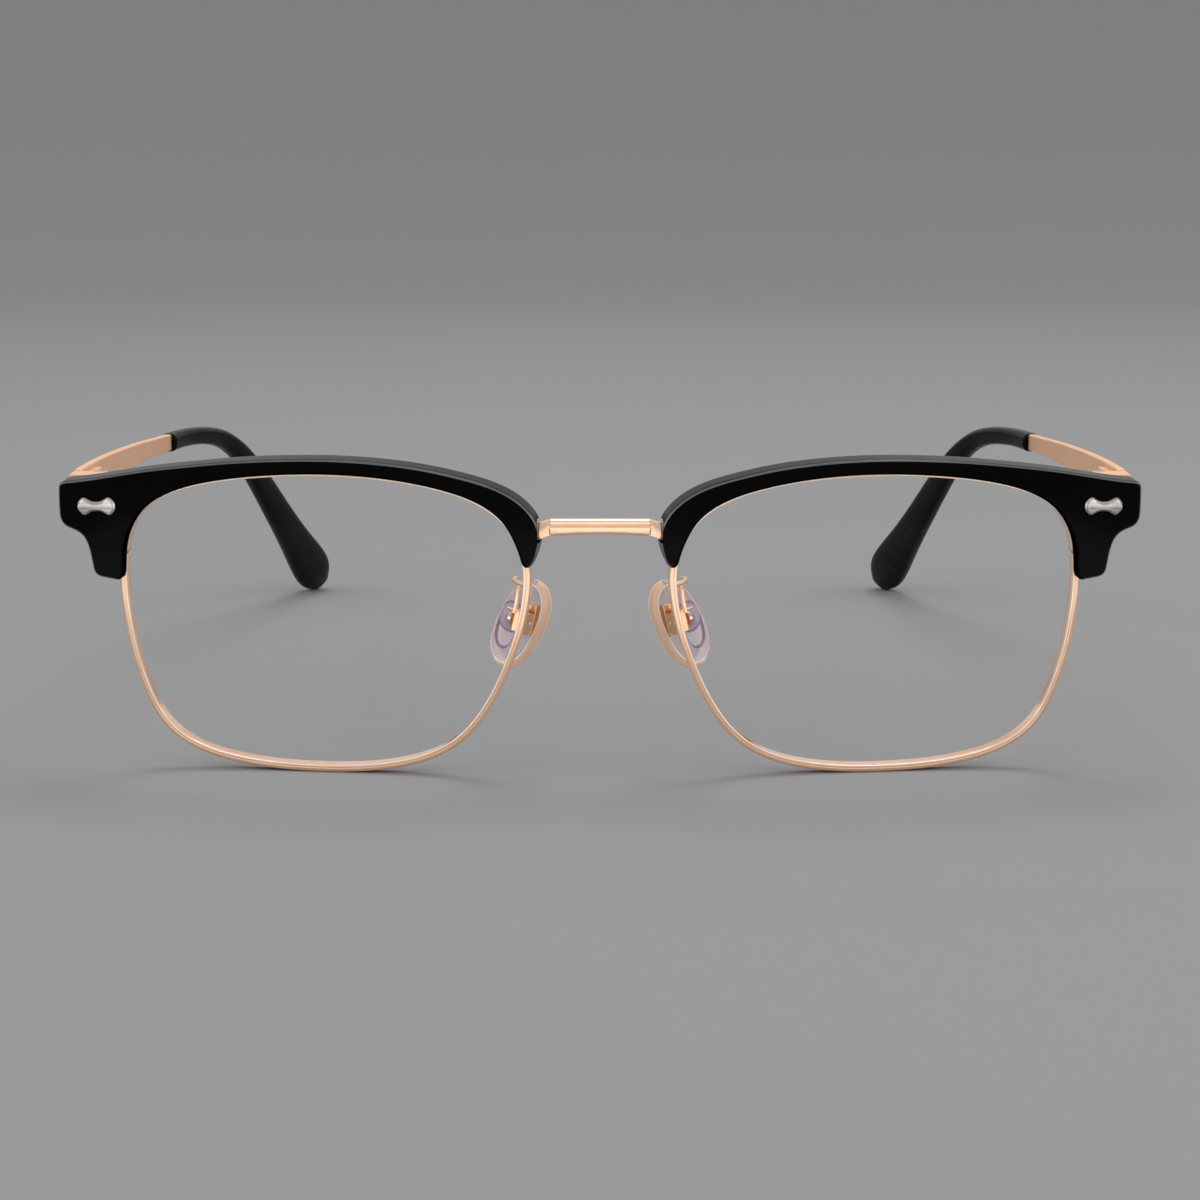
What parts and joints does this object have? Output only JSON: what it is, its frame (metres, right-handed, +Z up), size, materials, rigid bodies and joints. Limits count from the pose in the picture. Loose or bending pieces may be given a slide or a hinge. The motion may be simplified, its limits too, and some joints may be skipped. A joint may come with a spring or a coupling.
{
  "type": "browline glasses",
  "caption": "Browline eyeglasses: dark brow pieces on thin metal eyewires with clear lenses, adjustable nose pads and folding temples.",
  "frame": {"origin": "middle of the outline of the open glasses, on the surface that they stand on", "axes": "+X towards the wearer's left along the front, +Y from the front towards the temple tips, +Z up"},
  "size_m": [0.1456, 0.1478, 0.0436],
  "materials": {
    "rose_gold_metal": "rose-gold plated nickel alloy wire, polished to satin",
    "rose_gold_satin": "rose-gold plated spring steel blade, satin",
    "black_acetate": "polished black cellulose acetate",
    "black_tip": "black acetate, softly polished",
    "brushed_silver": "silver plated, finely grained upper facet, polished bevel",
    "steel_screw": "plated steel, turned head with slot",
    "clear_lens": "clear polished lens, faint anti-reflection tint",
    "clear_pad": "clear soft plastic, slightly warm"
  },
  "bodies": {
    "front": {"bridge": "rose_gold_metal", "rim_right": "rose_gold_metal", "rim_left": "rose_gold_metal", "lens_right": "clear_lens", "lens_left": "clear_lens", "brow_right": "black_acetate", "brow_left": "black_acetate", "brow_plaque_right": "brushed_silver", "brow_plaque_left": "brushed_silver", "brow_screw_right": "steel_screw", "brow_screw_left": "steel_screw", "end_piece_right": "rose_gold_metal", "end_piece_left": "rose_gold_metal", "closing_screw_right": "steel_screw", "closing_screw_left": "steel_screw", "hinge_screw_right": "steel_screw", "hinge_screw_left": "steel_screw", "pad_arm_right": "rose_gold_metal", "pad_arm_left": "rose_gold_metal", "pad_screw_right": "steel_screw", "pad_screw_left": "steel_screw"},
    "temple_right": {"temple_right": "rose_gold_satin", "temple_tip_right": "black_tip"},
    "temple_left": {"temple_left": "rose_gold_satin", "temple_tip_left": "black_tip"},
    "pad_right": {"nose_pad_right": "clear_pad", "pad_insert_right": "rose_gold_metal"},
    "pad_left": {"nose_pad_left": "clear_pad", "pad_insert_left": "rose_gold_metal"}
  },
  "joints": [
    {"name": "temple_right_fold", "type": "hinge", "parent": "front", "child": "temple_right", "pos_m": [-0.0686, -0.0565, 0.0373], "axis": [0, 0, -1], "range_deg": [0, 84]},
    {"name": "temple_left_fold", "type": "hinge", "parent": "front", "child": "temple_left", "pos_m": [0.0686, -0.0565, 0.0373], "axis": [0, 0, 1], "range_deg": [0, 77]},
    {"name": "pad_right_rock", "type": "hinge", "parent": "front", "child": "pad_right", "pos_m": [-0.0107, -0.066, 0.02049], "axis": [-0.8159, 0.5543, 0.1645], "range_deg": [-8, 8]},
    {"name": "pad_left_rock", "type": "hinge", "parent": "front", "child": "pad_left", "pos_m": [0.0107, -0.066, 0.02049], "axis": [0.8159, 0.5543, 0.1645], "range_deg": [-8, 8]}
  ]
}
